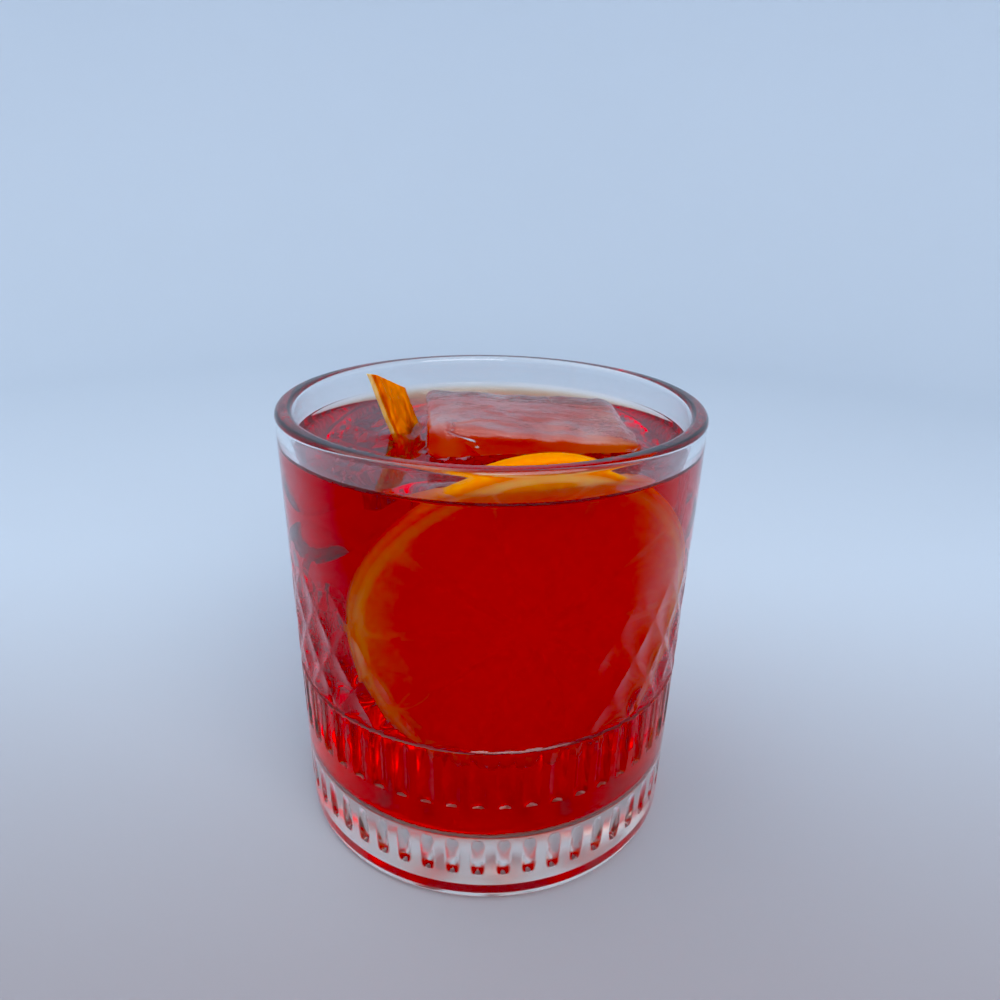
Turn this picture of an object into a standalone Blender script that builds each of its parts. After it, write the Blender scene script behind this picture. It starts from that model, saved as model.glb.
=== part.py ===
"""A boulevardier in its cut glass tumbler: the drink, one block of ice, an orange wheel and a strip of peel.

Metres, +Z up. The origin is the middle of the foot, on the surface that the glass stands on.
The glass is looked at from the -Y side, where the orange wheel stands behind the front wall.
"""
import math

import bmesh
import bpy
from mathutils import Matrix, Vector

# Glass, outside
GLASS_HEIGHT = 0.0886
RIM_RADIUS = 0.0415
FOOT_RADIUS = 0.0398
HEEL_ROUND = 0.0016
FOOT_RING_INNER = 0.0355
FOOT_RING_SLOPE = 0.0020
FOOT_RECESS = 0.0008

# Glass, inside
RIM_WALL = 0.0032
INNER_RADIUS = 0.0374
INNER_MOUTH_RADIUS = RIM_RADIUS - RIM_WALL
MOUTH_DEPTH = 0.0040
HOLLOW_TOP = GLASS_HEIGHT - 0.0056
TAPER_START = 0.0600
FLOOR_HEIGHT = 0.0125
FLOOR_ROUND = 0.0050
FLOOR_FLAT_SHARE = 0.45
PLAIN_WALL_HEIGHT = 0.0780

# Cut pattern: a band of diamonds over two rows of flutes
DIAMONDS_ROUND = 26
PATTERN_TURN = math.radians(-91.85)
DIAMOND_DEPTH = 0.0008
DIAMOND_BOTTOM = 0.0365
DIAMOND_HALF_ROW = 0.0064
DIAMOND_HALF_ROWS = 5
DIAMOND_TOP = DIAMOND_BOTTOM + DIAMOND_HALF_ROW * DIAMOND_HALF_ROWS
DIAMOND_FADE_START = 0.0540
PANEL_BOTTOM = 0.0230
PANEL_TOP = 0.0353
PANEL_DEPTH = 0.0007
PANEL_END = 0.0008
PANEL_FULLNESS = 0.35
LEDGE_HEIGHT = 0.0359
LEDGE_DEPTH = 0.0005
OVAL_BOTTOM = 0.0068
OVAL_TOP = 0.0153
OVAL_DEPTH = 0.0010
OVAL_END = 0.0010
OVAL_SLANT = 0.9
BAND_TOP = 0.0058

# Sides of the turned surfaces
DIAMOND_COLUMNS = DIAMONDS_ROUND * 4
FLUTE_COLUMNS = DIAMONDS_ROUND * 6
INNER_COLUMNS = DIAMONDS_ROUND * 2

# Drink
DRINK_LEVEL = 0.0810
MENISCUS_RISE = 0.0010
MENISCUS_WIDTH = 0.0024
MENISCUS_STEPS = 4
SURFACE_RING_SHARE = 0.5
GAP = 0.0003

# Ice block: half widths are not equal, so each corner has its own place
ICE_TOP = (
    (-0.0146, 0.0096, 0.0886), (0.0243, 0.0100, 0.0872),
    (0.0288, -0.0128, 0.0838), (-0.0114, -0.0172, 0.0882),
)
ICE_WAIST = (
    (-0.0127, 0.0115, 0.0770), (0.0275, 0.0105, 0.0770),
    (0.0288, -0.0092, 0.0770), (-0.0119, -0.0168, 0.0770),
)
ICE_FOOT = (
    (-0.0110, 0.0105, 0.0430), (0.0250, 0.0095, 0.0440),
    (0.0260, -0.0080, 0.0420), (-0.0100, -0.0145, 0.0425),
)
ICE_EDGE_ROUND = 0.0024

# Orange wheel, bent a little about an upright axis, its top leaning forward to the wall
WHEEL_RADIUS = 0.0302
WHEEL_THICKNESS = 0.0048
WHEEL_CENTRE = (0.0062, -0.0219, 0.0538)
WHEEL_YAW = math.radians(16.5)
WHEEL_BEND = 11.0
WHEEL_TOP_FORWARD = 0.0080
WHEEL_TOP_LIFT = 0.0029
WHEEL_STEPS = 44
RIND_ROUND = 0.0010
RIND_SHARE = 0.90
FLESH_SHARE = 0.86
CORE_SHARE = 0.45
FLESH_RECESS = 0.0002

# Strip of peel standing in the drink
PEEL_THICKNESS = 0.0024
PEEL_WIDTH = 0.0090
PEEL_FOOT = 0.0700
PEEL_TOP_FRONT = 0.0935
PEEL_TOP_BACK = 0.0888
PEEL_AT_LEVEL = (-0.0173, 0.0018)
PEEL_LEAN = 0.36
PEEL_CURL_DEPTH = 0.0100
PEEL_CURL_SHARE = 0.5
PEEL_DIRECTION = math.radians(70.5)
PEEL_ROWS = 10
PEEL_EDGE_ROUND = 0.0003

TAU = 2 * math.pi
MERGE = 0.00001


def clear_scene():
    for item in list(bpy.data.objects):
        bpy.data.objects.remove(item, do_unlink=True)


def new_collection(name):
    collection = bpy.data.collections.new(name)
    bpy.context.scene.collection.children.link(collection)
    return collection


def material(name, colour, roughness, transmission=0.0, ior=1.45):
    made = bpy.data.materials.new(name)
    made.use_nodes = True
    shader = made.node_tree.nodes["Principled BSDF"]
    shader.inputs["Base Color"].default_value = (*colour, 1.0)
    shader.inputs["Roughness"].default_value = roughness
    shader.inputs["Metallic"].default_value = 0.0
    shader.inputs["Transmission Weight"].default_value = transmission
    shader.inputs["IOR"].default_value = ior
    return made


def clear_glass():
    return material("clear_glass", (0.93, 0.96, 0.97), 0.02, transmission=1.0, ior=1.5)


def red_drink():
    return material("red_drink", (0.55, 0.01, 0.01), 0.02, transmission=0.8, ior=1.35)


def wet_ice():
    return material("wet_ice", (0.90, 0.78, 0.80), 0.08, transmission=0.9, ior=1.31)


def orange_flesh():
    return material("orange_flesh", (0.80, 0.27, 0.02), 0.35)


def orange_rind():
    return material("orange_rind", (0.72, 0.24, 0.03), 0.4)


def arc_points(centre_x, centre_z, radius, start, end, count):
    """Points on an arc in the profile plane, angles in degrees from +X towards +Z."""
    points = []
    for step in range(count + 1):
        angle = math.radians(start + (end - start) * step / count)
        points.append((centre_x + radius * math.cos(angle), centre_z + radius * math.sin(angle)))
    return points


def turned_mesh(name, profile, steps, turn=0.0):
    """Mesh of a profile turned about Z; the profile runs down its outer side."""
    mesh = bpy.data.meshes.new(name)
    points = [(x, 0.0, z) for x, z in profile]
    mesh.from_pydata(points, [(i, i + 1) for i in range(len(points) - 1)], [])
    spinner = bpy.data.objects.new(name, mesh)
    bpy.context.scene.collection.objects.link(spinner)
    screw = spinner.modifiers.new("turn", "SCREW")
    screw.axis = "Z"
    screw.angle = TAU
    screw.steps = steps
    screw.render_steps = steps
    screw.use_merge_vertices = True
    screw.merge_threshold = MERGE
    graph = bpy.context.evaluated_depsgraph_get()
    turned = bpy.data.meshes.new_from_object(spinner.evaluated_get(graph))
    turned.transform(Matrix.Rotation(turn, 4, "Z"))
    bpy.data.objects.remove(spinner, do_unlink=True)
    bpy.data.meshes.remove(mesh)
    return turned


def place(name, mesh, collection, finish, sharp_degrees=35):
    item = bpy.data.objects.new(name, mesh)
    mesh.materials.clear()
    mesh.materials.append(finish)
    mesh.shade_smooth()
    mesh.set_sharp_from_angle(angle=math.radians(sharp_degrees))
    collection.objects.link(item)
    return item


def outer_radius(height):
    return FOOT_RADIUS + (RIM_RADIUS - FOOT_RADIUS) * height / GLASS_HEIGHT


def bowl(value):
    """Depth across a hollow, 0 at both edges and 1 in the middle, for value from 0 to 1."""
    return 4.0 * value * (1.0 - value)


def diamond_relief(angle, height):
    column = angle / (TAU / DIAMOND_COLUMNS)
    row = (height - DIAMOND_BOTTOM) / (DIAMOND_HALF_ROW / 2)
    across = ((column - row) / 4) % 1.0
    along = ((column + row) / 4) % 1.0
    fade = min(1.0, max(0.0, (DIAMOND_TOP - height) / (DIAMOND_TOP - DIAMOND_FADE_START)))
    return DIAMOND_DEPTH * bowl(across) * bowl(along) * fade


def flute_relief(angle, height):
    """Panels are as deep all the way up; ovals are deepest near their lower end and run out upwards."""
    across = bowl((angle / (TAU / (2 * DIAMONDS_ROUND)) + 0.5) % 1.0)
    if PANEL_BOTTOM < height < PANEL_TOP:
        share = (height - PANEL_BOTTOM) / (PANEL_TOP - PANEL_BOTTOM)
        return PANEL_DEPTH * across * bowl(share) ** PANEL_FULLNESS
    if OVAL_BOTTOM < height < OVAL_TOP:
        share = (height - OVAL_BOTTOM) / (OVAL_TOP - OVAL_BOTTOM)
        return OVAL_DEPTH * across * (1 - OVAL_SLANT * share)
    return 0.0


def cut_in(mesh, relief):
    """Moves each point of an upright turned wall towards the axis by the relief at its place."""
    for vertex in mesh.vertices:
        radius = math.hypot(vertex.co.x, vertex.co.y)
        angle = math.atan2(vertex.co.y, vertex.co.x)
        factor = 1.0 - relief(angle, vertex.co.z) / radius
        vertex.co.x *= factor
        vertex.co.y *= factor


def crease_diamonds(shape):
    """Splits each four-sided face of the diamond band along the ridge that crosses it."""
    for face in list(shape.faces):
        middle = face.calc_center_median()
        in_band = DIAMOND_BOTTOM < middle.z < DIAMOND_TOP and middle.xy.length > INNER_MOUTH_RADIUS
        if len(face.verts) != 4 or not in_band:
            continue
        marks = []
        for vertex in face.verts:
            column = round(math.atan2(vertex.co.y, vertex.co.x) / (TAU / DIAMOND_COLUMNS))
            row = round((vertex.co.z - DIAMOND_BOTTOM) / (DIAMOND_HALF_ROW / 2))
            marks.append((column - row) % 4 == 0 or (column + row) % 4 == 0)
        start = 0 if marks[0] and marks[2] else 1
        bmesh.utils.face_split(face, face.verts[start], face.verts[start + 2])


def boundary_rings(shape):
    """The open rings of a shape, lowest first."""
    waiting = {edge for edge in shape.edges if edge.is_boundary}
    rings = []
    while waiting:
        ring = [waiting.pop()]
        for edge in ring:
            for vertex in edge.verts:
                for follower in vertex.link_edges:
                    if follower in waiting:
                        waiting.remove(follower)
                        ring.append(follower)
        rings.append(ring)
    return sorted(rings, key=lambda ring: sum(edge.verts[0].co.z for edge in ring) / len(ring))


def foot_profile():
    heel = arc_points(FOOT_RADIUS - HEEL_ROUND, HEEL_ROUND, HEEL_ROUND, 0, -90, 3)
    recess = [(FOOT_RING_INNER, 0.0), (FOOT_RING_INNER - FOOT_RING_SLOPE, FOOT_RECESS), (0.0, FOOT_RECESS)]
    return [(outer_radius(BAND_TOP), BAND_TOP)] + heel + recess


def flute_profile():
    ledge = [(outer_radius(LEDGE_HEIGHT) - LEDGE_DEPTH, LEDGE_HEIGHT)]
    middle = (PANEL_TOP + PANEL_BOTTOM) / 2
    panel = [PANEL_TOP, PANEL_TOP - PANEL_END, middle, PANEL_BOTTOM + PANEL_END, PANEL_BOTTOM]
    ring = [(PANEL_BOTTOM + OVAL_TOP) / 2]
    middle = (OVAL_TOP + OVAL_BOTTOM) / 2
    oval = [OVAL_TOP, OVAL_TOP - OVAL_END, middle, OVAL_BOTTOM + OVAL_END, OVAL_BOTTOM]
    return ledge + [(outer_radius(z), z) for z in panel + ring + oval]


def upper_profile():
    rim_round = RIM_WALL / 2
    rim = arc_points(RIM_RADIUS - rim_round, GLASS_HEIGHT - rim_round, rim_round, 180, 0, 6)
    mouth = [(INNER_MOUTH_RADIUS, GLASS_HEIGHT - MOUTH_DEPTH)]
    wall = [(outer_radius(PLAIN_WALL_HEIGHT), PLAIN_WALL_HEIGHT)]
    rows = range(2 * DIAMOND_HALF_ROWS, -1, -1)
    band = [DIAMOND_BOTTOM + DIAMOND_HALF_ROW / 2 * row for row in rows]
    return mouth + rim + wall + [(outer_radius(z), z) for z in band]


def hollow_profile(inset=0.0, top=HOLLOW_TOP):
    """The inside wall and floor, from the middle of the floor up to a height."""
    radius = INNER_RADIUS - inset
    floor = FLOOR_HEIGHT + inset
    corner = FLOOR_ROUND - inset
    share = (top - TAPER_START) / (GLASS_HEIGHT - MOUTH_DEPTH - TAPER_START)
    top_radius = radius + (INNER_MOUTH_RADIUS - INNER_RADIUS) * share
    turn = arc_points(radius - corner, floor + corner, corner, -90, 0, 4)
    flat = [(0.0, floor), (FLOOR_FLAT_SHARE * radius, floor)]
    return flat + turn + [(radius, TAPER_START), (top_radius, top)]


def make_glass(collection):
    half_flute_column = math.pi / FLUTE_COLUMNS
    foot = turned_mesh("foot", foot_profile(), DIAMOND_COLUMNS)
    flutes = turned_mesh("flutes", flute_profile(), FLUTE_COLUMNS, half_flute_column)
    upper = turned_mesh("upper", upper_profile(), DIAMOND_COLUMNS)
    hollow = turned_mesh("hollow", hollow_profile(), INNER_COLUMNS)
    cut_in(flutes, flute_relief)
    cut_in(upper, lambda angle, height: diamond_relief(angle, min(height, DIAMOND_TOP)))
    shape = bmesh.new()
    for band in (foot, flutes, upper, hollow):
        shape.from_mesh(band)
        bpy.data.meshes.remove(band)
    rings = boundary_rings(shape)
    for lower, higher in zip(rings[::2], rings[1::2]):
        bmesh.ops.bridge_loops(shape, edges=lower + higher)
    crease_diamonds(shape)
    bmesh.ops.recalc_face_normals(shape, faces=shape.faces)
    shape.transform(Matrix.Rotation(PATTERN_TURN, 4, "Z"))
    mesh = bpy.data.meshes.new("glass")
    shape.to_mesh(mesh)
    shape.free()
    return place("glass", mesh, collection, clear_glass(), sharp_degrees=50)


def make_ice(collection):
    """A melted block: a cube with a waist, its corners moved to their places, its edges rounded."""
    shape = bmesh.new()
    bmesh.ops.create_cube(shape, size=2.0)
    uprights = [edge for edge in shape.edges if abs(edge.verts[0].co.z - edge.verts[1].co.z) > 1.0]
    bmesh.ops.subdivide_edges(shape, edges=uprights, cuts=1)
    layers = {1: ICE_TOP, 0: ICE_WAIST, -1: ICE_FOOT}
    for vertex in shape.verts:
        corner = {(-1, 1): 0, (1, 1): 1, (1, -1): 2, (-1, -1): 3}[round(vertex.co.x), round(vertex.co.y)]
        vertex.co = Vector(layers[round(vertex.co.z)][corner])
    bmesh.ops.recalc_face_normals(shape, faces=shape.faces)
    mesh = bpy.data.meshes.new("ice_block")
    shape.to_mesh(mesh)
    shape.free()
    ice = place("ice_block", mesh, collection, wet_ice())
    bevel = ice.modifiers.new("melted_edges", "BEVEL")
    bevel.width = ICE_EDGE_ROUND
    bevel.segments = 3
    bevel.limit_method = "ANGLE"
    bevel.angle_limit = math.radians(35)
    ice.modifiers.new("flat_faces", "TRIANGULATE")
    return ice


def make_wheel(collection):
    half = WHEEL_THICKNESS / 2
    radius = WHEEL_RADIUS
    front = [(share * radius, half - FLESH_RECESS) for share in (0.0, CORE_SHARE, FLESH_SHARE)]
    rind = [(RIND_SHARE * radius, half), (radius - RIND_ROUND, half), (radius, half - RIND_ROUND)]
    edge = front + rind
    profile = edge + [(x, -z) for x, z in reversed(edge)]
    mesh = turned_mesh("orange_wheel", profile, WHEEL_STEPS)
    for vertex in mesh.vertices:
        across, up, through = vertex.co
        angle = across * WHEEL_BEND
        towards_top = max(0.0, up / radius) ** 2
        vertex.co.x = math.sin(angle) / WHEEL_BEND + through * math.sin(angle)
        vertex.co.y = (1 - math.cos(angle)) / WHEEL_BEND - through * math.cos(angle)
        vertex.co.y -= WHEEL_TOP_FORWARD * towards_top
        vertex.co.z = up + WHEEL_TOP_LIFT * towards_top
    wheel = place("orange_wheel", mesh, collection, orange_flesh())
    wheel.location = WHEEL_CENTRE
    wheel.rotation_euler = (0.0, 0.0, WHEEL_YAW)
    return wheel


def peel_place(height):
    """Middle of the strip at a height: it leans out above the drink and curls upright below it."""
    if height > DRINK_LEVEL:
        shift = -PEEL_LEAN * (height - DRINK_LEVEL)
    else:
        curl = 1 - math.exp((height - DRINK_LEVEL) / PEEL_CURL_DEPTH)
        shift = PEEL_LEAN * PEEL_CURL_DEPTH * PEEL_CURL_SHARE * curl
    return PEEL_AT_LEVEL[0] + shift, PEEL_AT_LEVEL[1]


def make_peel(collection):
    shape = bmesh.new()
    bmesh.ops.create_cube(shape, size=1.0)
    uprights = [edge for edge in shape.edges if abs(edge.verts[0].co.z - edge.verts[1].co.z) > 0.5]
    bmesh.ops.subdivide_edges(shape, edges=uprights, cuts=PEEL_ROWS - 1)
    along = Vector((math.cos(PEEL_DIRECTION), math.sin(PEEL_DIRECTION), 0.0))
    outward = Vector((math.sin(PEEL_DIRECTION), -math.cos(PEEL_DIRECTION), 0.0))
    for vertex in shape.verts:
        thick, wide, tall = vertex.co
        top = PEEL_TOP_FRONT + (PEEL_TOP_BACK - PEEL_TOP_FRONT) * (wide + 0.5)
        height = PEEL_FOOT + (top - PEEL_FOOT) * (tall + 0.5)
        x, y = peel_place(height)
        vertex.co = Vector((x, y, height)) + along * wide * PEEL_WIDTH + outward * thick * PEEL_THICKNESS
    mesh = bpy.data.meshes.new("orange_peel")
    shape.to_mesh(mesh)
    shape.free()
    peel = place("orange_peel", mesh, collection, orange_rind())
    bevel = peel.modifiers.new("soft_edges", "BEVEL")
    bevel.width = PEEL_EDGE_ROUND
    bevel.segments = 1
    bevel.limit_method = "ANGLE"
    bevel.angle_limit = math.radians(40)
    return peel


def grown_copy(item, collection):
    """A copy of a piece, larger all round by the gap, that cuts the drink."""
    graph = bpy.context.evaluated_depsgraph_get()
    mesh = bpy.data.meshes.new_from_object(item.evaluated_get(graph))
    mesh.transform(item.matrix_world)
    shape = bmesh.new()
    shape.from_mesh(mesh)
    shape.normal_update()
    moves = [vertex.normal * GAP * vertex.calc_shell_factor() for vertex in shape.verts]
    for vertex, move in zip(shape.verts, moves):
        vertex.co += move
    shape.to_mesh(mesh)
    shape.free()
    cutter = bpy.data.objects.new(item.name + "_space", mesh)
    cutter.hide_render = True
    cutter.display_type = "WIRE"
    collection.objects.link(cutter)
    return cutter


def make_drink(collection, cutters, solids):
    wall = hollow_profile(inset=GAP, top=DRINK_LEVEL + MENISCUS_RISE)
    edge_radius = wall[-1][0]
    meniscus = []
    for step in range(1, MENISCUS_STEPS):
        share = 1 - step / (MENISCUS_STEPS - 1)
        rise = MENISCUS_RISE * share ** 2
        meniscus.append((edge_radius - MENISCUS_WIDTH * (1 - share), DRINK_LEVEL + rise))
    surface = meniscus + [(SURFACE_RING_SHARE * edge_radius, DRINK_LEVEL), (0.0, DRINK_LEVEL)]
    profile = list(reversed(wall + surface))
    mesh = turned_mesh("drink", profile, INNER_COLUMNS, PATTERN_TURN)
    drink = place("drink", mesh, collection, red_drink())
    for solid in solids:
        cut = drink.modifiers.new("space_for_" + solid.name, "BOOLEAN")
        cut.operation = "DIFFERENCE"
        cut.solver = "EXACT"
        cut.object = grown_copy(solid, cutters)
    return drink


def main():
    clear_scene()
    parts = new_collection("boulevardier")
    cutters = new_collection("cutters")
    make_glass(parts)
    ice = make_ice(parts)
    wheel = make_wheel(parts)
    peel = make_peel(parts)
    bpy.context.view_layer.update()
    make_drink(parts, cutters, [ice, wheel, peel])


main()
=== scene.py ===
"""Looks of the boulevardier: cut glass tumbler, red drink, ice block, orange wheel and a strip of peel.

Metres, +Z up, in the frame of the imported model: the middle of the foot is the origin, the front is -Y.
"""

import math

import bmesh
import bpy
import numpy as np
from mathutils import Matrix, Vector, noise
from mathutils.bvhtree import BVHTree


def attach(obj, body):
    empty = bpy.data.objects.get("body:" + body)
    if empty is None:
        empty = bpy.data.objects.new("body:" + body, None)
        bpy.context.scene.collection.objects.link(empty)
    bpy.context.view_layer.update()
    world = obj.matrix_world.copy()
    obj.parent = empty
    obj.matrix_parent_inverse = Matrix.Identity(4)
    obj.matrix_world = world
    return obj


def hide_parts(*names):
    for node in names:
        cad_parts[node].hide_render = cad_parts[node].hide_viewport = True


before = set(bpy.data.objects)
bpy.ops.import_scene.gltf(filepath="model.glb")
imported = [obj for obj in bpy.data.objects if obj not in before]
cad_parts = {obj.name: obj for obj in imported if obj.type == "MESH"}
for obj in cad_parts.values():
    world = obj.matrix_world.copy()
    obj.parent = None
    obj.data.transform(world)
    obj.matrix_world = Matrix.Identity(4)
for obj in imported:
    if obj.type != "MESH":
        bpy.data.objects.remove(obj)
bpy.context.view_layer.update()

TAU = 2 * math.pi
MERGE = 0.000002

# Glass
GLASS_HEIGHT = 0.0886
RIM_RADIUS = 0.0415
FOOT_RADIUS = 0.0398
HEEL_ROUND = 0.0016
FOOT_RING_INNER = 0.0355
FOOT_RING_SLOPE = 0.0020
FOOT_RECESS = 0.0008
RIM_WALL = 0.0032
RIM_ROUND = 0.0011
INNER_RADIUS = 0.0374
INNER_MOUTH_RADIUS = RIM_RADIUS - RIM_WALL
TAPER_START = 0.0600
TAPER_END = GLASS_HEIGHT - 0.0040
FLOOR_HEIGHT = 0.0125
FLOOR_ROUND = 0.0050
FLOOR_FLAT_SHARE = 0.45
ROUND_COLUMNS = 260
RIM_COLUMNS = 416
GLASS_SHARP_ANGLE = math.radians(60)

# Cut pattern of the glass
DIAMONDS_ROUND = 26
PATTERN_TURN = math.radians(-91.85)
DIAMOND_DEPTH = 0.00066
DIAMOND_BOTTOM = 0.0365
DIAMOND_HALF_ROW = 0.0064
DIAMOND_HALF_ROWS = 5
DIAMOND_TOP = DIAMOND_BOTTOM + DIAMOND_HALF_ROW * DIAMOND_HALF_ROWS
DIAMOND_FADE_START = 0.0460
RIDGE_ROUND = 0.020
PANEL_BOTTOM = 0.0230
PANEL_TOP = 0.0353
PANEL_DEPTH = 0.0007
PANEL_HALF_WIDTH = 0.36
PANEL_END = 0.08
LEDGE_HEIGHT = 0.0359
LEDGE_DEPTH = 0.0005
OVAL_BOTTOM = 0.0068
OVAL_TOP = 0.0153
OVAL_DEPTH = 0.0012
OVAL_HALF_WIDTH = 0.30
OVAL_SLANT = 0.92
OVAL_END = 0.10
FLUTE_EDGE_ROUND = 0.04
BAND_TOP = 0.0058
FLUTES_ROUND = 2 * DIAMONDS_ROUND
FLAT_EDGE = 0.00015
DIAMOND_STEPS = 16
HOLLOW_STEPS = 22

# Drink
DRINK_LEVEL = 0.0810
MENISCUS_RISE = 0.0016
MENISCUS_WIDTH = 0.0018
MENISCUS_STEEP_WIDTH = 0.0004
MENISCUS_STEEP_SHARE = 0.45
INTO_WALL = 0.00015
CONTACT_HEIGHT = DRINK_LEVEL + MENISCUS_RISE
ICE_CONTACT_RISE = 0.0009
DRINK_COLUMNS = 260

# Refraction of each clear material, and what the drink takes from light that passes it
GLASS_IOR = 1.54
DRINK_IOR = 1.346
ICE_IOR = 1.31
ICE_HAZE = 0.045
DRINK_COLOUR = (0.972, 0.57, 0.10)
DRINK_DENSITY = 260.0

# Ice block, corners left back, right back, right front, left front
ICE_TOP = (
    (-0.0146, 0.0096, 0.0886), (0.0243, 0.0100, 0.0872),
    (0.0288, -0.0128, 0.0838), (-0.0114, -0.0172, 0.0882),
)
ICE_WAIST = (
    (-0.0127, 0.0115, 0.0770), (0.0275, 0.0105, 0.0770),
    (0.0288, -0.0092, 0.0770), (-0.0119, -0.0168, 0.0770),
)
ICE_FOOT = (
    (-0.0110, 0.0105, 0.0430), (0.0250, 0.0095, 0.0440),
    (0.0260, -0.0080, 0.0420), (-0.0100, -0.0145, 0.0425),
)
ICE_HALF_SIZE = (0.0180, 0.0120, 0.0225)
ICE_WAIST_SHARE = 0.75
ICE_EDGE_ROUND = 0.0026
ICE_SIDES = 72

# Orange wheel
WHEEL_RADIUS = 0.0302
WHEEL_THICKNESS = 0.0048
WHEEL_CENTRE = (0.0062, -0.0219, 0.0538)
WHEEL_YAW = math.radians(16.5)
WHEEL_BEND = 11.0
WHEEL_TOP_FORWARD = 0.0080
WHEEL_TOP_LIFT = 0.0029
WHEEL_COLUMNS = 240
SEGMENTS = 10
RIND_SHARE = 0.955
FLESH_SHARE = 0.895
CORE_SHARE = 0.09
WHEEL_EDGE_ROUND = 0.0011
MEMBRANE_WIDTH = 0.012

# Strip of peel
PEEL_THICKNESS = 0.0024
PEEL_WIDTH = 0.0090
PEEL_FOOT = 0.0700
PEEL_TOP_FRONT = 0.0935
PEEL_TOP_BACK = 0.0888
PEEL_AT_LEVEL = (-0.0173, 0.0018)
PEEL_LEAN = 0.36
PEEL_CURL_DEPTH = 0.0100
PEEL_CURL_SHARE = 0.5
PEEL_DIRECTION = math.radians(70.5)

# Stage and light
FLOOR_COLOURS = ((0.58, 0.65, 0.74), (0.61, 0.68, 0.77))
# Painted shade: the floor in front of the glass is painted darker, to about half the pale floor's colour. It
# stands in for shade on that side and darkens what the glass's front reflects.
FRONT_FLOOR_PAINTED_SHADE = (0.29, 0.265, 0.285)
FRONT_FLOOR_PAINTED_SHADE_START = 0.12
FRONT_FLOOR_PAINTED_SHADE_END = -0.12
FRONT_FLOOR_PAINTED_SHADE_HEIGHTS = (0.002, 0.05)
SWEEP_RADIUS = 0.75
SWEEP_CURVE = 0.30
SWEEP_HEIGHT = 0.80
SKY_COLOUR = (0.80, 0.89, 1.0)
SKY_STRENGTH = 0.44

# Area lights: name, place, what it faces, size, power, colour
LIGHTS = (
    ("key", (-0.55, 0.05, 0.80), (0.0, 0.1, 0.0), 1.2, 5.0, (0.95, 0.98, 1.0)),
    ("low", (0.08, -0.75, 0.42), (0.0, 0.0, 0.05), 0.4, 1.3, (1.0, 0.98, 0.96)),
    ("fill", (0.22, -0.55, 0.55), (0.0, 0.0, 0.05), 0.7, 4.8, (1.0, 0.98, 0.97)),
)

# Camera, from the rim, the foot and the lattice as the photograph shows them
CAMERA_PLACE = (0.0, -0.150818, 0.128716)
CAMERA_YAW = 0.01273
CAMERA_PITCH = math.radians(-22.257)
CAMERA_ROLL = math.radians(1.23)
CAMERA_LENS = 28.37
PICTURE_SATURATION = 1.14


def new_object(name, mesh):
    item = bpy.data.objects.new(name, mesh)
    bpy.context.scene.collection.objects.link(item)
    return item


def mesh_from(name, points, faces):
    mesh = bpy.data.meshes.new(name)
    mesh.from_pydata([tuple(point) for point in points], [], faces)
    mesh.update()
    return mesh


def smooth_step(value):
    value = min(1.0, max(0.0, value))
    return value * value * (3 - 2 * value)


def arc_points(centre_x, centre_z, radius, start, end, count):
    """Points on an arc in the profile plane, angles in degrees from +X towards +Z."""
    points = []
    for step in range(count + 1):
        angle = math.radians(start + (end - start) * step / count)
        points.append((centre_x + radius * math.cos(angle), centre_z + radius * math.sin(angle)))
    return points


def turned_band(profile, angles, relief=None):
    """A band turned about Z from the profile's (radius, height) points; a radius of 0 makes a pole."""
    points = []
    faces = []
    starts = []
    count = len(angles)
    for radius, height in profile:
        starts.append(len(points))
        if radius == 0.0:
            points.append((0.0, 0.0, height))
            continue
        for angle in angles:
            depth = relief(angle, height) if relief else 0.0
            points.append(((radius - depth) * math.cos(angle), (radius - depth) * math.sin(angle), height))
    for row in range(len(profile) - 1):
        here, there = starts[row], starts[row + 1]
        for column in range(count):
            after = (column + 1) % count
            if profile[row][0] == 0.0:
                faces.append((here, there + after, there + column))
            elif profile[row + 1][0] == 0.0:
                faces.append((here + column, here + after, there))
            else:
                faces.append((here + column, here + after, there + after, there + column))
    return mesh_from("band", points, faces)


def outer_radius(height):
    return FOOT_RADIUS + (RIM_RADIUS - FOOT_RADIUS) * height / GLASS_HEIGHT


def bowl(value, edge=0.0):
    """Depth across a hollow: 0 at both edges, which are rounded by edge, and 1 in the middle."""
    side = min(value, 1.0 - value)
    side = math.sqrt(side * side + edge * edge) - edge
    return 4.0 * side * (1.0 - side)


def diamond_depth(across, along, height):
    fade = smooth_step((DIAMOND_TOP - height) / (DIAMOND_TOP - DIAMOND_FADE_START))
    return DIAMOND_DEPTH * bowl(across, RIDGE_ROUND) * bowl(along, RIDGE_ROUND) * fade


def eased_spacing(count, crowding=0.55):
    """Steps from 0 to 1, closer together at both ends."""
    steps = []
    for step in range(count + 1):
        share = step / count
        steps.append(share - crowding * math.sin(TAU * share) / TAU)
    return steps


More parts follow.
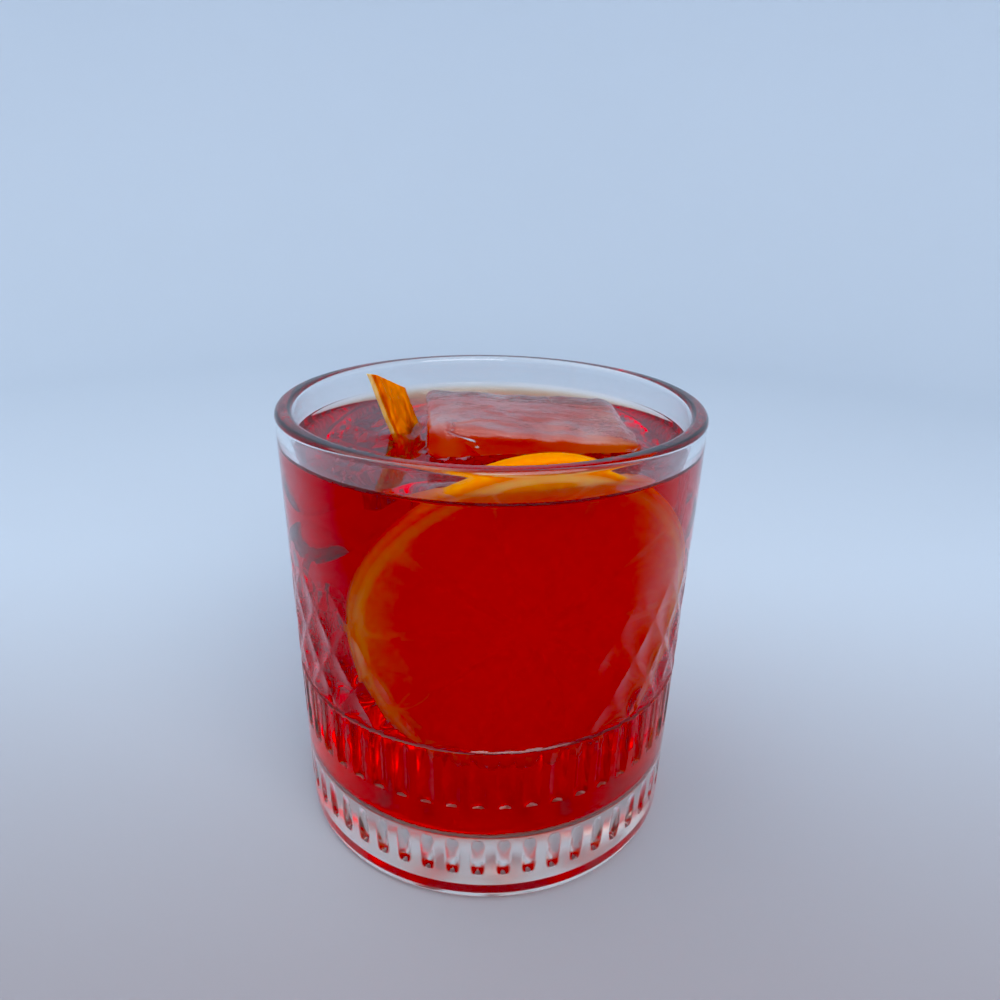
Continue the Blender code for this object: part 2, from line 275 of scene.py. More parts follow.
def diamond_band():
    """The lattice of hollows, each a grid of its own, so that the ridges run along the mesh's edges."""
    count = DIAMOND_STEPS
    steps = eased_spacing(count, 0.8)
    points = []
    faces = []
    index = {}

    def corner(first, second):
        """first and second count grid lines along the two directions of the lattice."""
        key = (first, second)
        across = first // count + steps[first % count]
        along = second // count + steps[second % count]
        turn = (across + along) / 2 % DIAMONDS_ROUND
        height = DIAMOND_BOTTOM + DIAMOND_HALF_ROW * (along - across)
        ring_key = (round(turn * 4096) % (DIAMONDS_ROUND * 4096), round(height * 1e7))
        if ring_key not in index:
            angle = TAU * turn / DIAMONDS_ROUND
            radius = outer_radius(height) - diamond_depth(across % 1.0, along % 1.0, height)
            index[ring_key] = len(points)
            points.append((radius * math.cos(angle), radius * math.sin(angle), height))
        return index[ring_key]

    for along_cell in range(DIAMONDS_ROUND + DIAMOND_HALF_ROWS):
        for row in range(-1, DIAMOND_HALF_ROWS):
            across_cell = along_cell - row
            if (across_cell + along_cell) // 2 >= DIAMONDS_ROUND + DIAMOND_HALF_ROWS // 2 + 1:
                continue
            middle = (across_cell + along_cell + 1) / 2
            if not DIAMOND_HALF_ROWS / 2 <= middle < DIAMONDS_ROUND + DIAMOND_HALF_ROWS / 2:
                continue
            for i in range(count):
                for j in range(count):
                    low = row * count + j - i
                    a0, b0 = across_cell * count + i, along_cell * count + j
                    quad = [(a0, b0), (a0 + 1, b0), (a0 + 1, b0 + 1), (a0, b0 + 1)]
                    inside = [0 <= b - a <= DIAMOND_HALF_ROWS * count for a, b in quad]
                    kept = [corner(a, b) for (a, b), keep in zip(quad, inside) if keep]
                    if len(kept) >= 3 and -1 <= low <= DIAMOND_HALF_ROWS * count:
                        faces.append(tuple(kept))
    return mesh_from("band", points, faces)


def round_end(share, reach):
    """Rises from 0 at share 0 to 1 at reach, as the end of a round-nosed cut does."""
    if share >= reach:
        return 1.0
    return math.sqrt(max(0.0, 1 - (1 - share / reach) ** 2))


def flute_hollow(side, half_width):
    """Depth across a flute whose middle is at side 0.5; beyond its width the wall is left plain."""
    across = (side - 0.5) / (2 * half_width) + 0.5
    return bowl(across, FLUTE_EDGE_ROUND) if 0.0 < across < 1.0 else 0.0


def flute_relief(angle, height):
    side = (angle / (TAU / FLUTES_ROUND) + 0.5) % 1.0
    if PANEL_BOTTOM < height < PANEL_TOP:
        share = (height - PANEL_BOTTOM) / (PANEL_TOP - PANEL_BOTTOM)
        ends = round_end(share, PANEL_END) * round_end(1 - share, PANEL_END / 2)
        width = PANEL_HALF_WIDTH * (0.75 + 0.25 * round_end(share, 2 * PANEL_END))
        return PANEL_DEPTH * flute_hollow(side, width) * ends
    if OVAL_BOTTOM < height < OVAL_TOP:
        share = (height - OVAL_BOTTOM) / (OVAL_TOP - OVAL_BOTTOM)
        width = OVAL_HALF_WIDTH * round_end(share, 0.35) * round_end(1 - share, 0.30)
        slant = 1 - OVAL_SLANT * share
        return OVAL_DEPTH * flute_hollow(side, max(width, 0.01)) * slant * round_end(share, OVAL_END)
    return 0.0


def flute_angles():
    """Columns of the flutes, closer together where the cuts have their edges."""
    half = (0.07, 0.13, 0.17, 0.20, 0.23, 0.27, 0.32, 0.38, 0.44)
    sides = (0.0,) + half + (0.5,) + tuple(1 - side for side in reversed(half))
    return [TAU * (flute + side - 0.5) / FLUTES_ROUND for flute in range(FLUTES_ROUND) for side in sides]


def even_angles(count):
    return [TAU * step / count for step in range(count)]


def hollow_rows(bottom, top):
    """Heights down a hollow from top to bottom, closer together at its ends."""
    return [top + (bottom - top) * share for share in eased_spacing(HOLLOW_STEPS, 0.85)]


def flute_profile():
    ledge = [(outer_radius(LEDGE_HEIGHT) - LEDGE_DEPTH, LEDGE_HEIGHT)]
    ledge.append((outer_radius(PANEL_TOP) - LEDGE_DEPTH * 0.6, PANEL_TOP + 0.00030))
    panels = [PANEL_TOP + FLAT_EDGE, *hollow_rows(PANEL_BOTTOM, PANEL_TOP), PANEL_BOTTOM - FLAT_EDGE]
    ovals = [OVAL_TOP + FLAT_EDGE, *hollow_rows(OVAL_BOTTOM, OVAL_TOP), OVAL_BOTTOM - FLAT_EDGE]
    return ledge + [(outer_radius(height), height) for height in panels + ovals]


def foot_profile():
    heel = arc_points(FOOT_RADIUS - HEEL_ROUND, HEEL_ROUND, HEEL_ROUND, 0, -90, 8)
    ring_radii = (FOOT_RADIUS - HEEL_ROUND - FLAT_EDGE, FOOT_RING_INNER + FLAT_EDGE, FOOT_RING_INNER)
    ring = [(radius, 0.0) for radius in ring_radii]
    slope_end = FOOT_RING_INNER - FOOT_RING_SLOPE
    recess = [(slope_end, FOOT_RECESS), (slope_end - FLAT_EDGE, FOOT_RECESS), (0.0, FOOT_RECESS)]
    wall = [(outer_radius(height), height) for height in (BAND_TOP, HEEL_ROUND + FLAT_EDGE)]
    return wall + heel + ring + recess


def rim_profile():
    """From the inside of the mouth over the rounded rim and down the clear outer wall."""
    outer = arc_points(RIM_RADIUS - RIM_ROUND, GLASS_HEIGHT - RIM_ROUND, RIM_ROUND, 90, 0, 7)
    inner = [(INNER_MOUTH_RADIUS, GLASS_HEIGHT - RIM_ROUND - FLAT_EDGE)]
    inner += arc_points(INNER_MOUTH_RADIUS + RIM_ROUND, GLASS_HEIGHT - RIM_ROUND, RIM_ROUND, 180, 90, 7)
    top = DIAMOND_TOP
    under_rim = GLASS_HEIGHT - RIM_ROUND - FLAT_EDGE
    heights = (under_rim, 0.0840, 0.0780, 0.0730, top + FLAT_EDGE)
    wall = [(outer_radius(height), height) for height in heights]
    return inner + outer + wall


def hollow_profile(grown=0.0, top=TAPER_END):
    """The inside wall and floor, from the middle of the floor up to a height."""
    radius = INNER_RADIUS + grown
    floor = FLOOR_HEIGHT - grown
    corner = FLOOR_ROUND + grown
    share = (top - TAPER_START) / (TAPER_END - TAPER_START)
    top_radius = radius + (INNER_MOUTH_RADIUS - INNER_RADIUS) * share
    turn = arc_points(radius - corner, floor + corner, corner, -90, 0, 24)
    flat = [(0.0, floor), (FLOOR_FLAT_SHARE * radius, floor), (radius - corner - FLAT_EDGE, floor)]
    return flat + turn + [(radius, floor + corner + FLAT_EDGE), (radius, TAPER_START), (top_radius, top)]


def wall_radius(height):
    return hollow_profile(0.0, height)[-1][0]


def boundary_rings(shape):
    """The open rings of a shape, lowest first."""
    waiting = {edge for edge in shape.edges if edge.is_boundary}
    rings = []
    while waiting:
        ring = [waiting.pop()]
        for edge in ring:
            for vertex in edge.verts:
                for follower in vertex.link_edges:
                    if follower in waiting:
                        waiting.remove(follower)
                        ring.append(follower)
        rings.append(ring)
    return sorted(rings, key=lambda ring: sum(edge.verts[0].co.z for edge in ring) / len(ring))


def wet_to_dry_rows():
    heights = (CONTACT_HEIGHT, TAPER_END)
    return [(wall_radius(height), height) for height in heights]


def mark_faces(mesh, rule):
    """Gives the second material to the faces whose middle the rule picks."""
    for face in mesh.polygons:
        face.material_index = 1 if rule(face.center) else 0


def make_glass():
    bands = [
        turned_band(foot_profile(), even_angles(ROUND_COLUMNS)),
        turned_band(flute_profile(), flute_angles(), flute_relief),
        diamond_band(),
        turned_band(rim_profile(), even_angles(RIM_COLUMNS)),
        turned_band(hollow_profile(0.0, CONTACT_HEIGHT)[:-1] + wet_to_dry_rows(), even_angles(ROUND_COLUMNS)),
    ]
    shape = bmesh.new()
    for band in bands:
        shape.from_mesh(band)
        bpy.data.meshes.remove(band)
    rings = boundary_rings(shape)
    for lower, higher in zip(rings[::2], rings[1::2]):
        bmesh.ops.bridge_loops(shape, edges=lower + higher)
    bmesh.ops.recalc_face_normals(shape, faces=shape.faces)
    shape.transform(Matrix.Rotation(PATTERN_TURN, 4, "Z"))
    mesh = bpy.data.meshes.new("tumbler")
    shape.to_mesh(mesh)
    shape.free()
    mesh.shade_smooth()
    mesh.set_sharp_from_angle(angle=GLASS_SHARP_ANGLE)
    mark_faces(mesh, lambda place: FLOOR_HEIGHT - MERGE < place.z < CONTACT_HEIGHT
               and place.xy.length < wall_radius(max(place.z, TAPER_START)) + MERGE)
    for face in mesh.polygons:
        if 0.0 < face.center.z < FOOT_RECESS + MERGE and face.center.xy.length < FOOT_RING_INNER:
            face.material_index = 2
    return new_object("tumbler", mesh)


def block_point(x, y, z):
    """A place in the ice block: x and y from -1 to 1 between its sides, z from -1 at its foot to 1."""
    share = (z + 1) / 2
    if share < ICE_WAIST_SHARE:
        lower, upper, mix = ICE_FOOT, ICE_WAIST, share / ICE_WAIST_SHARE
    else:
        lower, upper, mix = ICE_WAIST, ICE_TOP, (share - ICE_WAIST_SHARE) / (1 - ICE_WAIST_SHARE)
    corners = [Vector(low).lerp(Vector(high), mix) for low, high in zip(lower, upper)]
    back = corners[0].lerp(corners[1], (x + 1) / 2)
    front = corners[3].lerp(corners[2], (x + 1) / 2)
    return front.lerp(back, (y + 1) / 2)


def rounded_block_mesh(name):
    """Six grids on a box with rounded edges, mapped into the block's eight-cornered form."""
    shape = bmesh.new()
    bmesh.ops.create_cube(shape, size=2.0)
    bmesh.ops.subdivide_edges(shape, edges=shape.edges, cuts=ICE_SIDES - 1, use_grid_fill=True)
    for vertex in shape.verts:
        place = []
        inner = []
        for value, half in zip(vertex.co, ICE_HALF_SIZE):
            eased = math.sin(value * math.pi / 2) * 0.35 + value * 0.65
            place.append(eased * half)
            inner.append(max(-half + ICE_EDGE_ROUND, min(half - ICE_EDGE_ROUND, eased * half)))
        offset = Vector(place) - Vector(inner)
        rounded = Vector(inner) + offset.normalized() * ICE_EDGE_ROUND
        vertex.co = block_point(*(value / half for value, half in zip(rounded, ICE_HALF_SIZE)))
    bmesh.ops.recalc_face_normals(shape, faces=shape.faces)
    mesh = bpy.data.meshes.new(name)
    shape.to_mesh(mesh)
    shape.free()
    return mesh


def ice_relief(place):
    """How far melting has moved the surface at a place, outwards positive."""
    broad = noise.noise(place * 90.0) * 0.00040
    middle = noise.noise(place * 230.0 + Vector((7, 3, 1))) * 0.00030
    fine = noise.noise(place * 600.0 + Vector((1, 9, 4))) * 0.00010
    crack = max(0.0, 1 - 14 * abs(noise.noise(place * 75.0 + Vector((3, 8, 2))))) * 0.00022
    return broad + middle + fine - crack - 0.00025


def cut_level(mesh, height):
    """Adds an edge loop at a height."""
    shape = bmesh.new()
    shape.from_mesh(mesh)
    everything = shape.verts[:] + shape.edges[:] + shape.faces[:]
    bmesh.ops.bisect_plane(shape, geom=everything, plane_co=(0, 0, height), plane_no=(0, 0, 1))
    shape.to_mesh(mesh)
    shape.free()


def make_ice():
    mesh = rounded_block_mesh("ice")
    mesh.update()
    normals = [Vector(vertex.normal) for vertex in mesh.vertices]
    for vertex, normal in zip(mesh.vertices, normals):
        vertex.co = vertex.co + normal * ice_relief(vertex.co)
    cut_level(mesh, DRINK_LEVEL + ICE_CONTACT_RISE)
    mark_faces(mesh, lambda place: place.z < DRINK_LEVEL + ICE_CONTACT_RISE)
    mesh.shade_smooth()
    return new_object("clear_ice", mesh)


def shrunk_copy(item, name, inset):
    mesh = item.data.copy()
    normals = [Vector(vertex.normal) for vertex in mesh.vertices]
    for vertex, normal in zip(mesh.vertices, normals):
        vertex.co = vertex.co - normal * inset
    return new_object(name, mesh)


def surface_profile():
    """The drink's surface from the wall inwards, closer together near the wall."""
    edge = hollow_profile(INTO_WALL, DRINK_LEVEL + MENISCUS_RISE)[-1][0]
    radii = [edge - 0.00006 * step - 0.00004 * step * step for step in range(24)]
    last = radii[-1]
    count = 44
    radii += [last * (1 - step / count) for step in range(1, count)]
    return [(radius, DRINK_LEVEL) for radius in radii] + [(0.0, DRINK_LEVEL)], edge


def raise_surface(mesh, edge, neighbours):
    """Lifts the drink's surface where it clings to the wall and to what stands in it."""
    trees = []
    for other in neighbours:
        places = [vertex.co for vertex in other.vertices]
        trees.append(BVHTree.FromPolygons(places, [face.vertices for face in other.polygons]))
    for vertex in mesh.vertices:
        if abs(vertex.co.z - DRINK_LEVEL) > 1e-6:
            continue
        to_wall = max(0.0, edge - INTO_WALL - vertex.co.xy.length)
        steep = math.exp(-to_wall / MENISCUS_STEEP_WIDTH)
        broad = math.exp(-to_wall / MENISCUS_WIDTH)
        rise = MENISCUS_RISE * (broad + MENISCUS_STEEP_SHARE * (steep - broad))
        for tree in trees:
            distance = tree.find_nearest(vertex.co)[3]
            rise = max(rise, ICE_CONTACT_RISE * math.exp(-distance / MENISCUS_WIDTH))
        vertex.co.z += rise


def make_drink(ice, wheel, peel):
    surface, edge = surface_profile()
    wall = hollow_profile(INTO_WALL, DRINK_LEVEL)
    wall[-1] = (edge, DRINK_LEVEL - 0.0001)
    profile = list(reversed(wall + surface))
    mesh = turned_band(profile, even_angles(DRINK_COLUMNS))
    raise_surface(mesh, edge, [item.data for item in (ice, wheel, peel)])
    mesh.shade_smooth()
    mark_faces(mesh, lambda place: place.z < DRINK_LEVEL - MERGE
               or place.xy.length > wall_radius(CONTACT_HEIGHT))
    drink = new_object("red_cocktail", mesh)
    cutter = shrunk_copy(ice, "ice_space", INTO_WALL)
    mark_faces(cutter.data, lambda place: True)
    cut = drink.modifiers.new("ice_space", "BOOLEAN")
    cut.operation = "DIFFERENCE"
    cut.solver = "EXACT"
    cut.material_mode = "INDEX"
    cut.object = cutter
    graph = bpy.context.evaluated_depsgraph_get()
    carved = bpy.data.meshes.new_from_object(drink.evaluated_get(graph))
    drink.modifiers.clear()
    drink.data = carved
    bpy.data.objects.remove(cutter, do_unlink=True)
    held = [float(face.material_index) for face in carved.polygons]
    layer = carved.attributes.new("held", "FLOAT", "FACE")
    layer.data.foreach_set("value", held)
    mark_faces(carved, lambda place: False)
    return drink


def wheel_profile():
    """(radius, through) points from the front's middle over the rind to the back's middle."""
    half = WHEEL_THICKNESS / 2
    face = [WHEEL_RADIUS * share for share in np.linspace(0.0, 1.0, 46)[:-2]]
    front = [(radius, half) for radius in face]
    edge = WHEEL_EDGE_ROUND
    corner = arc_points(WHEEL_RADIUS - edge, half - edge, edge, 90, 0, 5)
    over = front + corner
    return over + [(radius, -through) for radius, through in reversed(over)]


def segment_shape(radius_share, angle):
    """1 inside a segment's flesh, 0 on the membranes, the pith and the rind, with rounded corners."""
    turn = angle / TAU * SEGMENTS
    number = math.floor(turn)
    skew = 0.07 * math.sin(number * 2.4)
    side = abs((turn - number - 0.5 + skew * 0.5) * 2)
    width = radius_share * math.pi / SEGMENTS
    membrane = 1 - smooth_step((side - 1 + 0.022 / max(width, 0.001)) * width / MEMBRANE_WIDTH + 0.4)
    outer = FLESH_SHARE - 0.035 * side ** 4 + 0.006 * math.sin(number * 1.7)
    rim = 1 - smooth_step((radius_share - outer) / 0.018)
    core = smooth_step((radius_share - CORE_SHARE) / 0.03)
    return membrane * rim * core


def wheel_relief(radius_share, angle, flesh):
    """Height of the cut face over the flat: vesicles in the flesh, membranes a little proud."""
    around = Vector((math.cos(angle), math.sin(angle), 0)) * radius_share
    vesicle = noise.noise(Vector((angle * 14.0, radius_share * 9.0, 2.0)))
    grain = noise.noise(around * 40.0)
    return flesh * (-0.00003 + 0.00002 * vesicle) + 0.00001 * grain


def make_wheel():
    profile = wheel_profile()
    mesh = turned_band(list(reversed(profile)), even_angles(WHEEL_COLUMNS))
    flesh_layer = []
    rind_layer = []
    share_layer = []
    for vertex in mesh.vertices:
        across, up, through = vertex.co
        radius_share = math.hypot(across, up) / WHEEL_RADIUS
        angle = math.atan2(up, across) % TAU
        flesh = segment_shape(radius_share, angle)
        side = math.copysign(1.0, through)
        if radius_share < RIND_SHARE:
            through += side * wheel_relief(radius_share, angle, flesh)
        bend = across * WHEEL_BEND
        wave = 0.0003 * math.sin(angle * 3 + 1.0) * radius_share ** 2
        vertex.co.x = math.sin(bend) / WHEEL_BEND + through * math.sin(bend)
        towards_top = max(0.0, up / WHEEL_RADIUS) ** 2
        vertex.co.y = (1 - math.cos(bend)) / WHEEL_BEND - (through + wave) * math.cos(bend)
        vertex.co.y -= WHEEL_TOP_FORWARD * towards_top
        vertex.co.z = up + WHEEL_TOP_LIFT * towards_top
        flesh_layer.append(flesh)
        rind_layer.append(smooth_step((radius_share - RIND_SHARE + 0.01) / 0.02))
        share_layer.append(radius_share)
    mesh.transform(Matrix.Translation(WHEEL_CENTRE) @ Matrix.Rotation(WHEEL_YAW, 4, "Z"))
    store(mesh, "flesh", flesh_layer)
    store(mesh, "rind", rind_layer)
    store(mesh, "radius_share", share_layer)
    mesh.shade_smooth()
    return new_object("orange_slice", mesh)


def store(mesh, name, values):
    layer = mesh.attributes.new(name, "FLOAT", "POINT")
    layer.data.foreach_set("value", np.array(values, np.float32))


def peel_middle(height):
    if height > DRINK_LEVEL:
        shift = -PEEL_LEAN * (height - DRINK_LEVEL)
    else:
        curl = 1 - math.exp((height - DRINK_LEVEL) / PEEL_CURL_DEPTH)
        shift = PEEL_LEAN * PEEL_CURL_DEPTH * PEEL_CURL_SHARE * curl
    return Vector((PEEL_AT_LEVEL[0] + shift, PEEL_AT_LEVEL[1], height))


def make_peel():
    shape = bmesh.new()
    bmesh.ops.create_cube(shape, size=1.0)
    edges = {"thick": [], "wide": [], "tall": []}
    for edge in shape.edges:
        run = edge.verts[0].co - edge.verts[1].co
        edges[("thick", "wide", "tall")[max(range(3), key=lambda axis: abs(run[axis]))]].append(edge)
    bmesh.ops.subdivide_edges(shape, edges=edges["tall"], cuts=119, use_grid_fill=True)
    wide = [e for e in shape.edges if abs(e.verts[0].co.y - e.verts[1].co.y) > 0.5]
    bmesh.ops.subdivide_edges(shape, edges=wide, cuts=29, use_grid_fill=True)
    thick = [e for e in shape.edges if abs(e.verts[0].co.x - e.verts[1].co.x) > 0.5]
    bmesh.ops.subdivide_edges(shape, edges=thick, cuts=7, use_grid_fill=True)
    along = Vector((math.cos(PEEL_DIRECTION), math.sin(PEEL_DIRECTION), 0.0))
    outward = Vector((math.sin(PEEL_DIRECTION), -math.cos(PEEL_DIRECTION), 0.0))
    depth_layer = []
    across_layer = []
    for vertex in shape.verts:
        thick, wide, tall = vertex.co
        depth_layer.append(thick + 0.5)
        across_layer.append(wide + 0.5)
        corner = max(0.0, abs(wide) - 0.44) / 0.06
        squeeze = 1 - 0.28 * corner * corner
        top = PEEL_TOP_FRONT + (PEEL_TOP_BACK - PEEL_TOP_FRONT) * (wide + 0.5)
        height = PEEL_FOOT + (top - PEEL_FOOT) * (tall + 0.5)
        middle = peel_middle(height)
        ragged = noise.noise(Vector((height * 300, wide * 3, 0))) * 0.00025
        dimple = noise.noise(Vector((height * 900, wide * 8, 5))) * 0.00010 * (1 if thick > 0.4 else 0)
        place = middle + along * (wide * PEEL_WIDTH + ragged * (abs(wide) * 2) ** 4)
        vertex.co = place + outward * (thick * PEEL_THICKNESS * squeeze + dimple)
    bmesh.ops.recalc_face_normals(shape, faces=shape.faces)
    mesh = bpy.data.meshes.new("peel")
    shape.to_mesh(mesh)
    shape.free()
    store(mesh, "depth", depth_layer)
    store(mesh, "across", across_layer)
    mesh.shade_smooth()
    mesh.set_sharp_from_angle(angle=math.radians(50))
    return new_object("peel_strip", mesh)


class Nodes:
    """A short way to write a material's nodes."""

    def __init__(self, name):
        self.material = bpy.data.materials.new(name)
        self.material.use_nodes = True
        self.tree = self.material.node_tree
        self.shader = self.tree.nodes["Principled BSDF"]
        self.output = self.tree.nodes["Material Output"]
        self.object_place = self.tree.nodes.new("ShaderNodeTexCoord").outputs["Object"]

    def put(self, socket, value):
        if isinstance(value, bpy.types.NodeSocket):
            self.tree.links.new(value, socket)
        elif isinstance(value, tuple) and len(socket.default_value) == 4:
            socket.default_value = (*value, 1.0)
        else:
            socket.default_value = value

    def set(self, **values):
        for name, value in values.items():
            self.put(self.shader.inputs[name.replace("_", " ")], value)

    def noise(self, scale, detail=2.0, place=None, stretch=None, distortion=0.0):
        made = self.tree.nodes.new("ShaderNodeTexNoise")
        made.inputs["Scale"].default_value = scale
        made.inputs["Detail"].default_value = detail
        made.inputs["Distortion"].default_value = distortion
        source = place or self.object_place
        if stretch:
            mapping = self.tree.nodes.new("ShaderNodeMapping")
            mapping.inputs["Scale"].default_value = stretch
            self.put(mapping.inputs["Vector"], source)
            source = mapping.outputs["Vector"]
        self.put(made.inputs["Vector"], source)
        return made.outputs["Fac"]

    def ramp(self, value, low, high, low_value=0.0, high_value=1.0):
        made = self.tree.nodes.new("ShaderNodeMapRange")
        made.interpolation_type = "SMOOTHSTEP"
        names = ("Value", "From Min", "From Max", "To Min", "To Max")
        for name, given in zip(names, (value, low, high, low_value, high_value)):
            self.put(made.inputs[name], given)
        return made.outputs["Result"]

    def mix(self, share, first, second):
        made = self.tree.nodes.new("ShaderNodeMix")
        made.data_type = "RGBA"
        self.put(made.inputs["Factor"], share)
        colours = [socket for socket in made.inputs if socket.type == "RGBA"]
        self.put(colours[0], first)
        self.put(colours[1], second)
        return [socket for socket in made.outputs if socket.type == "RGBA"][0]

    def math(self, operation, first, second):
        made = self.tree.nodes.new("ShaderNodeMath")
        made.operation = operation
        self.put(made.inputs[0], first)
        self.put(made.inputs[1], second)
        return made.outputs[0]

    def attribute(self, name):
        made = self.tree.nodes.new("ShaderNodeAttribute")
        made.attribute_name = name
        return made.outputs["Fac"]

    def bump(self, height, distance, strength=1.0):
        made = self.tree.nodes.new("ShaderNodeBump")
        made.inputs["Strength"].default_value = strength
        made.inputs["Distance"].default_value = distance
        self.put(made.inputs["Height"], height)
        self.put(self.shader.inputs["Normal"], made.outputs["Normal"])

    def absorb(self, colour, density):
        made = self.tree.nodes.new("ShaderNodeVolumeAbsorption")
        made.inputs["Color"].default_value = (*colour, 1.0)
        made.inputs["Density"].default_value = density
        self.tree.links.new(made.outputs["Volume"], self.output.inputs["Volume"])


def glass_material(name, ior, smoothest=0.0, roughest=0.03):
    made = Nodes(name)
    waves = made.noise(140.0, 1.0)
    tint = made.mix(made.noise(60.0, 3.0), (0.97, 0.985, 0.99), (1.0, 1.0, 1.0))
    made.set(Base_Color=tint, Transmission_Weight=1.0, IOR=ior)
    made.set(Roughness=made.ramp(made.noise(500.0, 4.0), 0.55, 0.85, smoothest, roughest))
    made.bump(waves, 0.000006)
    return made.material


def drink_material():
    """Bends light only at the open surface; where glass or ice holds the drink, they bend it."""
    made = Nodes("red_drink")
    swirl = made.noise(45.0, 2.0, distortion=1.5)
    made.set(Base_Color=made.mix(swirl, (1.0, 0.99, 0.985), (1.0, 1.0, 1.0)))
    made.set(Roughness=made.ramp(made.noise(300.0, 2.0), 0.6, 0.9, 0.0, 0.02))
    made.set(Transmission_Weight=1.0, IOR=made.ramp(made.attribute("held"), 0.0, 1.0, DRINK_IOR, 1.0))
    made.bump(swirl, 0.00003)
    made.absorb(DRINK_COLOUR, DRINK_DENSITY)
    return made.material


def ice_material(name, ior, haze):
    """Clear ice, cloudy by a share that grows on the faces that look up."""
    made = Nodes(name)
    scratches = made.noise(300.0, 4.0, stretch=(0.3, 1.6, 1.0), distortion=0.6)
    cloud = made.ramp(made.noise(110.0, 4.0), 0.35, 0.75, 0.6, 1.5)
    normal = made.tree.nodes.new("ShaderNodeNewGeometry").outputs["Normal"]
    split = made.tree.nodes.new("ShaderNodeSeparateXYZ")
    made.put(split.inputs["Vector"], normal)
    upward = made.ramp(split.outputs["Z"], 0.2, 0.9, haze, 3.2 * haze)
    cloudy = made.math("MULTIPLY", upward, cloud)
    made.set(Base_Color=made.mix(cloud, (0.97, 0.99, 1.0), (0.90, 0.94, 0.97)))
    made.set(Roughness=made.ramp(cloudy, 0.0, 0.5, 0.01, 0.16))
    made.set(Transmission_Weight=made.math("SUBTRACT", 1.0, cloudy), IOR=ior)
    grain = made.noise(60.0, 3.0, stretch=(0.45, 1.5, 1.0), distortion=0.8)
    away = made.math("ABSOLUTE", made.math("SUBTRACT", grain, 0.5), 0.0)
    cracks = made.ramp(away, 0.0, 0.014, 1.6, 0.0)
    made.bump(made.math("ADD", scratches, cracks), 0.00050)
    return made.material


def flesh_material():
    made = Nodes("orange_flesh")
    flesh = made.attribute("flesh")
    rind = made.attribute("rind")
    cells = made.noise(380.0, 3.0, distortion=0.8)
    mottle = made.noise(120.0, 2.0)
    pulp = made.mix(cells, (0.86, 0.22, 0.005), (0.95, 0.45, 0.02))
    pith = made.mix(mottle, (0.90, 0.50, 0.13), (0.94, 0.62, 0.22))
    zest = made.mix(made.noise(700.0, 2.0), (0.80, 0.20, 0.02), (0.88, 0.32, 0.04))
    skin = made.mix(mottle, (0.90, 0.42, 0.05), (0.95, 0.50, 0.08))
    inner = made.mix(made.ramp(made.attribute("radius_share"), 0.84, 0.90), skin, pith)
    colour = made.mix(rind, made.mix(flesh, inner, pulp), zest)
    made.set(Base_Color=colour, Subsurface_Weight=0.9, Subsurface_Scale=0.009, Specular_IOR_Level=0.05)
    made.set(Subsurface_Radius=(1.0, 0.45, 0.12))
    made.set(Roughness=made.ramp(cells, 0.2, 0.8, 0.25, 0.42))
    made.bump(cells, 0.00003)
    return made.material


def peel_material():
    made = Nodes("orange_peel")
    depth = made.attribute("depth")
    streaks = made.ramp(made.noise(420.0, 4.0, stretch=(1.0, 1.0, 0.3), distortion=0.8), 0.3, 0.7)
    pith = made.mix(streaks, (0.70, 0.40, 0.13), (0.95, 0.76, 0.44))
    zest = made.mix(streaks, (0.42, 0.075, 0.002), (0.90, 0.30, 0.02))
    made.set(Base_Color=made.mix(made.ramp(depth, 0.35, 0.75), pith, zest))
    made.set(Roughness=made.ramp(streaks, 0.2, 0.8, 0.3, 0.5))
    made.set(Subsurface_Weight=0.6, Subsurface_Scale=0.003, Subsurface_Radius=(1.0, 0.4, 0.1))
    made.bump(streaks, 0.00015)
    return made.material


def stage_material():
    made = Nodes("pale_sweep_painted_front_shade")
    cloud = made.noise(3.0, 2.0)
    pale = made.mix(cloud, *FLOOR_COLOURS)
    split = made.tree.nodes.new("ShaderNodeSeparateXYZ")
    made.put(split.inputs["Vector"], made.object_place)
    # Painted shade: the floor's colour is darkened towards the front by place, only low down, so the wall
    # above stays pale.
    front = made.ramp(split.outputs["Y"], FRONT_FLOOR_PAINTED_SHADE_START, FRONT_FLOOR_PAINTED_SHADE_END)
    front = made.math("MULTIPLY", front, made.ramp(split.outputs["Z"], *FRONT_FLOOR_PAINTED_SHADE_HEIGHTS, 1.0, 0.0))
    made.set(Base_Color=made.mix(front, pale, FRONT_FLOOR_PAINTED_SHADE), Roughness=0.8)
    made.bump(made.noise(900.0, 3.0), 0.00005, 0.3)
    return made.material


def sweep_profile():
    """A floor that curves up into a low wall all round, from the wall's top to the middle."""
    bend = arc_points(SWEEP_RADIUS - SWEEP_CURVE, SWEEP_CURVE, SWEEP_CURVE, 0, -90, 24)
    return [(SWEEP_RADIUS, SWEEP_HEIGHT)] + bend + [(0.2, 0.0), (0.0, 0.0)]


def make_stage():
    mesh = turned_band(sweep_profile(), even_angles(128))
    mesh.transform(Matrix.Translation((0, 0, -0.0002)))
    mesh.flip_normals()
    mesh.shade_smooth()
    sweep = new_object("sweep", mesh)
    sweep.data.materials.append(stage_material())


def add_area_light(name, place, target, size, power, colour):
    data = bpy.data.lights.new(name, "AREA")
    data.shape = "DISK"
    data.size = size
    data.energy = power
    data.color = colour
    light = new_object(name, data)
    light.location = place
    light.rotation_euler = (Vector(target) - Vector(place)).to_track_quat("-Z", "Y").to_euler()


def make_light():
    world = bpy.data.worlds.new("soft_room")
    bpy.context.scene.world = world
    world.use_nodes = True
    background = world.node_tree.nodes["Background"]
    background.inputs["Color"].default_value = (*SKY_COLOUR, 1.0)
    background.inputs["Strength"].default_value = SKY_STRENGTH
    for light in LIGHTS:
        add_area_light(*light)


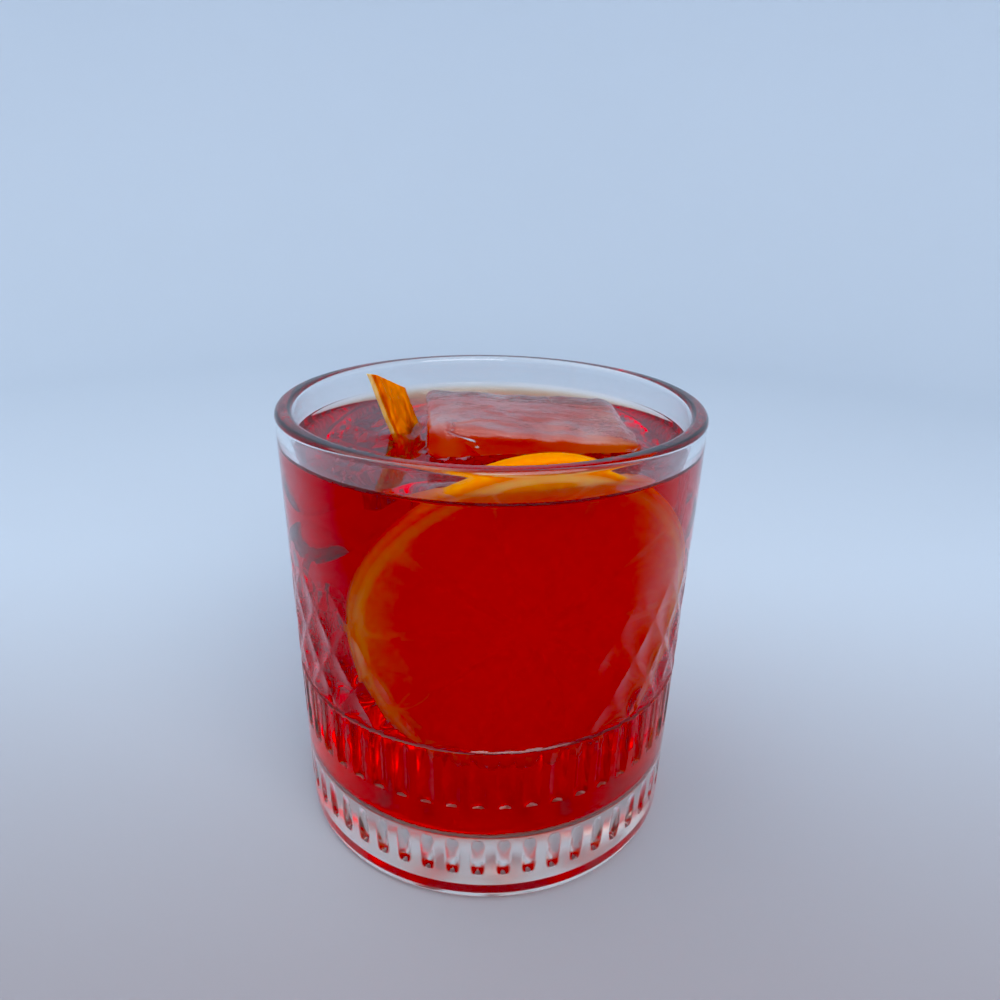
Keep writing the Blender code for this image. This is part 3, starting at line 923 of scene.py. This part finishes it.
def make_picture_look():
    """A little more saturation, as a phone gives its pictures."""
    scene = bpy.context.scene
    scene.use_nodes = True
    tree = scene.node_tree
    source = next(node for node in tree.nodes if node.type == "R_LAYERS")
    target = next(node for node in tree.nodes if node.type == "COMPOSITE")
    richer = tree.nodes.new("CompositorNodeHueSat")
    richer.inputs["Saturation"].default_value = PICTURE_SATURATION
    tree.links.new(source.outputs["Image"], richer.inputs["Image"])
    tree.links.new(richer.outputs["Image"], target.inputs["Image"])


def make_camera():
    level = Vector((math.sin(CAMERA_YAW), math.cos(CAMERA_YAW), 0.0))
    forward = level * math.cos(CAMERA_PITCH) + Vector((0, 0, math.sin(CAMERA_PITCH)))
    right = forward.cross(Vector((0, 0, 1))).normalized()
    up = right.cross(forward)
    side = right * math.cos(CAMERA_ROLL) + up * math.sin(CAMERA_ROLL)
    top = up * math.cos(CAMERA_ROLL) - right * math.sin(CAMERA_ROLL)
    data = bpy.data.cameras.new("camera")
    data.lens = CAMERA_LENS
    data.sensor_width = 36.0
    data.clip_start = 0.005
    camera = new_object("camera", data)
    turn = Matrix((side, top, -forward)).transposed().to_4x4()
    camera.matrix_world = Matrix.Translation(CAMERA_PLACE) @ turn
    bpy.context.scene.camera = camera


def finish_piece(piece, materials, node=None):
    kept = [face.material_index for face in piece.data.polygons]
    piece.data.materials.clear()
    for material in materials:
        piece.data.materials.append(material)
    piece.data.polygons.foreach_set("material_index", kept)
    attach(piece, "root")
    if node:
        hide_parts(node)


def light_paths():
    """Enough bounces for light to pass the glass, the drink and the ice and come back."""
    cycles = bpy.context.scene.cycles
    cycles.max_bounces = 24
    cycles.transmission_bounces = 24
    cycles.glossy_bounces = 6
    cycles.diffuse_bounces = 3
    cycles.caustics_refractive = True
    cycles.caustics_reflective = True
    cycles.sample_clamp_indirect = 6.0
    bpy.context.scene.view_settings.view_transform = "Standard"


make_camera()
make_stage()
make_light()
make_picture_look()
light_paths()

tumbler = make_glass()
ice = make_ice()
wheel = make_wheel()
peel = make_peel()
drink = make_drink(ice, wheel, peel)

dry_glass = glass_material("pressed_glass", GLASS_IOR)
wet_glass = glass_material("pressed_glass_under_drink", GLASS_IOR / DRINK_IOR)
dry_ice = ice_material("ice_in_air", ICE_IOR, ICE_HAZE)
wet_ice = ice_material("ice_under_drink", ICE_IOR / DRINK_IOR, 0.0)
soft_glass = glass_material("pressed_glass_under_foot", GLASS_IOR, 0.10, 0.16)
finish_piece(tumbler, [dry_glass, wet_glass, soft_glass], "glass")
finish_piece(ice, [dry_ice, wet_ice], "ice_block")
finish_piece(wheel, [flesh_material()], "orange_wheel")
finish_piece(peel, [peel_material()], "orange_peel")
finish_piece(drink, [drink_material()], "drink")
